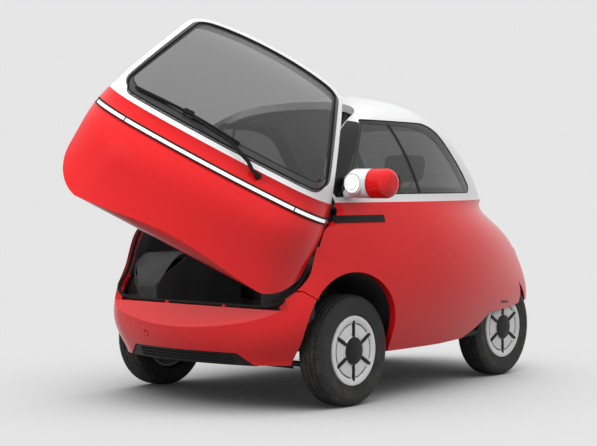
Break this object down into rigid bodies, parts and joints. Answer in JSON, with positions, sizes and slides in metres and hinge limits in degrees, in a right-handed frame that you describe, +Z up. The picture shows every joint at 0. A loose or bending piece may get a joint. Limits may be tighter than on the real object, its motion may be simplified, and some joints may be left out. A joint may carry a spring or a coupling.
{
  "type": "microcar",
  "caption": "Small bubble car with one front-opening door carrying the windscreen, a rear hatch, a bench seat, mirror pods with headlamps and a narrow rear track.",
  "frame": {"origin": "on the ground, on the centreline, midway between the two axles", "axes": "+X forwards, +Y to the car's left, +Z up"},
  "size_m": [3.0924, 1.76, 1.8643],
  "materials": {
    "battery_case": "grey battery case",
    "black_plastic": "fine grained black plastic",
    "light_white": "white light strip",
    "red_paint": "glossy bright red paint",
    "white_paint": "glossy white paint",
    "dark_floor": "dark coated floor",
    "dark_steel": "black coated steel",
    "tyre_rubber": "black tyre rubber",
    "wheel_white": "white wheel cover",
    "seat_fabric": "dark grey woven seat cover",
    "lamp_glass": "clear lamp cover, lit",
    "grey_glass": "grey tinted clear glass",
    "motor_alloy": "cast alloy",
    "lamp_red": "red rear light strip",
    "steel": "plain steel"
  },
  "bodies": {
    "body": {"battery_block": "battery_case", "bumper_grille": "black_plastic", "floor_pan": "dark_floor", "front_arms": "dark_steel", "front_bumper": "red_paint", "headrests": "seat_fabric", "left_body_side": "red_paint", "left_headlamp": "lamp_glass", "left_lamp_pod": "white_paint", "left_mirror_cap": "red_paint", "left_side_window": "grey_glass", "motor_block": "motor_alloy", "rear_axle": "dark_steel", "right_body_side": "red_paint", "right_headlamp": "lamp_glass", "right_lamp_pod": "white_paint", "right_mirror_cap": "red_paint", "right_side_window": "grey_glass", "roof": "white_paint", "seat_back": "seat_fabric", "seat_cushion": "seat_fabric", "side_strips": "black_plastic", "steering_column": "steel", "tail_panel": "red_paint"},
    "front_door": {"door_light_bar": "black_plastic", "door_light_strip": "light_white", "door_panel": "red_paint", "door_window_frame": "white_paint", "windscreen": "grey_glass", "wiper": "black_plastic"},
    "rear_hatch": {"hatch_frame": "white_paint", "hatch_panel": "red_paint", "rear_light_bar": "lamp_red", "rear_window": "grey_glass"},
    "steering_wheel": {"steering_wheel": "black_plastic"},
    "front_left_upright": {"front_left_knuckle": "dark_steel"},
    "front_right_upright": {"front_right_knuckle": "dark_steel"},
    "front_left_road_wheel": {"front_left_tyre": "tyre_rubber", "front_left_wheel": "wheel_white"},
    "front_right_road_wheel": {"front_right_tyre": "tyre_rubber", "front_right_wheel": "wheel_white"},
    "rear_left_road_wheel": {"rear_left_tyre": "tyre_rubber", "rear_left_wheel": "wheel_white"},
    "rear_right_road_wheel": {"rear_right_tyre": "tyre_rubber", "rear_right_wheel": "wheel_white"}
  },
  "joints": [
    {"name": "front_door_swing", "type": "hinge", "parent": "body", "child": "front_door", "pos_m": [0.875, 0.589, 0.87], "axis": [-0.5777, -0.0955, 0.8107], "range_deg": [-50, 0]},
    {"name": "rear_hatch_swing", "type": "hinge", "parent": "body", "child": "rear_hatch", "pos_m": [-0.361, 0, 1.3846], "axis": [0, 1, 0], "range_deg": [0, 70]},
    {"name": "left_steer", "type": "hinge", "parent": "body", "child": "front_left_upright", "pos_m": [0.74, 0.575, 0.265], "axis": [0, 0, 1], "range_deg": [-28, 28]},
    {"name": "right_steer", "type": "hinge", "parent": "body", "child": "front_right_upright", "pos_m": [0.74, -0.575, 0.265], "axis": [0, 0, 1], "range_deg": [-28, 28]},
    {"name": "steering_wheel_turn", "type": "hinge", "parent": "body", "child": "steering_wheel", "pos_m": [0.262, 0.225, 0.8], "axis": [-0.7672, 0, 0.6414], "range_deg": [-336, 336]},
    {"name": "front_left_spin", "type": "hinge", "parent": "front_left_upright", "child": "front_left_road_wheel", "pos_m": [0.74, 0.609, 0.265], "axis": [0, 1, 0], "continuous": true},
    {"name": "rear_left_spin", "type": "hinge", "parent": "body", "child": "rear_left_road_wheel", "pos_m": [-0.74, 0.484, 0.265], "axis": [0, 1, 0], "continuous": true},
    {"name": "front_right_spin", "type": "hinge", "parent": "front_right_upright", "child": "front_right_road_wheel", "pos_m": [0.74, -0.609, 0.265], "axis": [0, 1, 0], "continuous": true},
    {"name": "rear_right_spin", "type": "hinge", "parent": "body", "child": "rear_right_road_wheel", "pos_m": [-0.74, -0.484, 0.265], "axis": [0, 1, 0], "continuous": true}
  ],
  "couplings": [
    {"joint": "right_steer", "follows": "left_steer", "ratio": 1},
    {"joint": "steering_wheel_turn", "follows": "left_steer", "ratio": 12}
  ]
}
